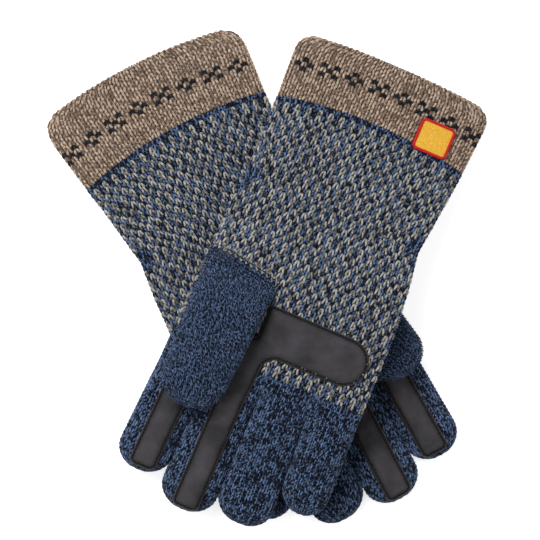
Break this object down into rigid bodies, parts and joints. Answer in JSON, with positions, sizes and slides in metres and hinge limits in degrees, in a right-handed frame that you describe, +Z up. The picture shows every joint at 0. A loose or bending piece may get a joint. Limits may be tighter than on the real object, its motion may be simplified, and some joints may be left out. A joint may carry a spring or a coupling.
{
  "type": "pair of knitted gloves",
  "caption": "Crossed pair of lined knitted gloves, palm up, with banded cuffs, leather grips on palm, index and middle fingers, curling fingers and moving thumbs.",
  "frame": {"origin": "under the middle of the pair, on the table", "axes": "+Z up from the table, towards the palms; +Y along the pair towards the cuffs; +X to the right as the palms are looked down on"},
  "size_m": [0.2522, 0.2836, 0.0591],
  "materials": {
    "patterned_knit": "two-colour jacquard wool knit",
    "plain_knit": "plain melange wool knit",
    "cuff_knit": "fine wool knit with a small dark motif",
    "lining": "brushed fleece",
    "leather": "smooth satin leather",
    "thread": "sewing thread",
    "label_cloth": "plain woven ribbon",
    "label_border": "overlocked edge"
  },
  "bodies": {
    "left_hand": {"left_cuff_band": "cuff_knit", "left_cuff_hem": "cuff_knit", "left_hand_shell": "patterned_knit", "left_hand_lining": "lining", "left_index_base_shell": "plain_knit", "left_index_base_lining": "lining", "left_middle_base_shell": "plain_knit", "left_middle_base_lining": "lining", "left_palm_leather": "leather", "left_palm_thread": "thread", "left_index_base_leather": "leather", "left_index_base_thread": "thread", "left_ring_shell": "plain_knit", "left_ring_lining": "lining", "left_little_shell": "plain_knit", "left_little_lining": "lining"},
    "left_thumb": {"left_thumb_shell": "plain_knit", "left_thumb_lining": "lining"},
    "left_index_tip": {"left_index_tip_shell": "plain_knit", "left_index_tip_lining": "lining", "left_index_tip_leather": "leather", "left_index_tip_thread": "thread"},
    "left_middle_tip": {"left_middle_tip_shell": "plain_knit", "left_middle_tip_lining": "lining", "left_middle_tip_leather": "leather", "left_middle_tip_thread": "thread"},
    "right_hand": {"right_cuff_band": "cuff_knit", "right_cuff_hem": "cuff_knit", "right_hand_shell": "patterned_knit", "right_hand_lining": "lining", "right_index_base_shell": "plain_knit", "right_index_base_lining": "lining", "right_middle_base_shell": "plain_knit", "right_middle_base_lining": "lining", "right_palm_leather": "leather", "right_palm_thread": "thread", "right_index_base_leather": "leather", "right_index_base_thread": "thread", "right_label_cloth": "label_cloth", "right_label_border": "label_border"},
    "right_thumb": {"right_thumb_shell": "plain_knit", "right_thumb_lining": "lining"},
    "right_index_tip": {"right_index_tip_shell": "plain_knit", "right_index_tip_lining": "lining", "right_index_tip_leather": "leather", "right_index_tip_thread": "thread"},
    "right_middle_tip": {"right_middle_tip_shell": "plain_knit", "right_middle_tip_lining": "lining", "right_middle_tip_leather": "leather", "right_middle_tip_thread": "thread"},
    "right_ring": {"right_ring_shell": "plain_knit", "right_ring_lining": "lining"},
    "right_little": {"right_little_shell": "plain_knit", "right_little_lining": "lining"}
  },
  "joints": [
    {"name": "right_glove_lift", "type": "slide", "parent": "left_hand", "child": "right_hand", "axis": [0, 0, 1], "range_m": [0, 0.15]},
    {"name": "left_thumb_swing", "type": "hinge", "parent": "left_hand", "child": "left_thumb", "pos_m": [0.03229, 0.0066, 0.01594], "axis": [0, 0, 1], "range_deg": [0, 26]},
    {"name": "left_index_curl", "type": "hinge", "parent": "left_hand", "child": "left_index_tip", "pos_m": [0.0786, -0.06262, 0.0163], "axis": [-0.8746, -0.4848, 0], "range_deg": [0, 85]},
    {"name": "left_middle_curl", "type": "hinge", "parent": "left_hand", "child": "left_middle_tip", "pos_m": [0.05962, -0.09944, 0.01583], "axis": [-0.8746, -0.4848, 0], "range_deg": [0, 80]},
    {"name": "right_thumb_lift", "type": "hinge", "parent": "right_hand", "child": "right_thumb", "pos_m": [-0.01346, 0.01174, 0.04784], "axis": [-0.9164, 0.389, -0.0946], "range_deg": [0, 65]},
    {"name": "right_index_curl", "type": "hinge", "parent": "right_hand", "child": "right_index_tip", "pos_m": [-0.05683, -0.07262, 0.02974], "axis": [-0.9164, 0.389, -0.0946], "range_deg": [0, 85]},
    {"name": "right_middle_curl", "type": "hinge", "parent": "right_hand", "child": "right_middle_tip", "pos_m": [-0.02852, -0.08464, 0.03266], "axis": [-0.9164, 0.389, -0.0946], "range_deg": [0, 85]},
    {"name": "right_ring_curl", "type": "hinge", "parent": "right_hand", "child": "right_ring", "pos_m": [0.00891, -0.07402, 0.03856], "axis": [-0.9164, 0.389, -0.0946], "range_deg": [0, 85]},
    {"name": "right_little_curl", "type": "hinge", "parent": "right_hand", "child": "right_little", "pos_m": [0.03597, -0.0855, 0.04136], "axis": [-0.9164, 0.389, -0.0946], "range_deg": [0, 85]}
  ]
}
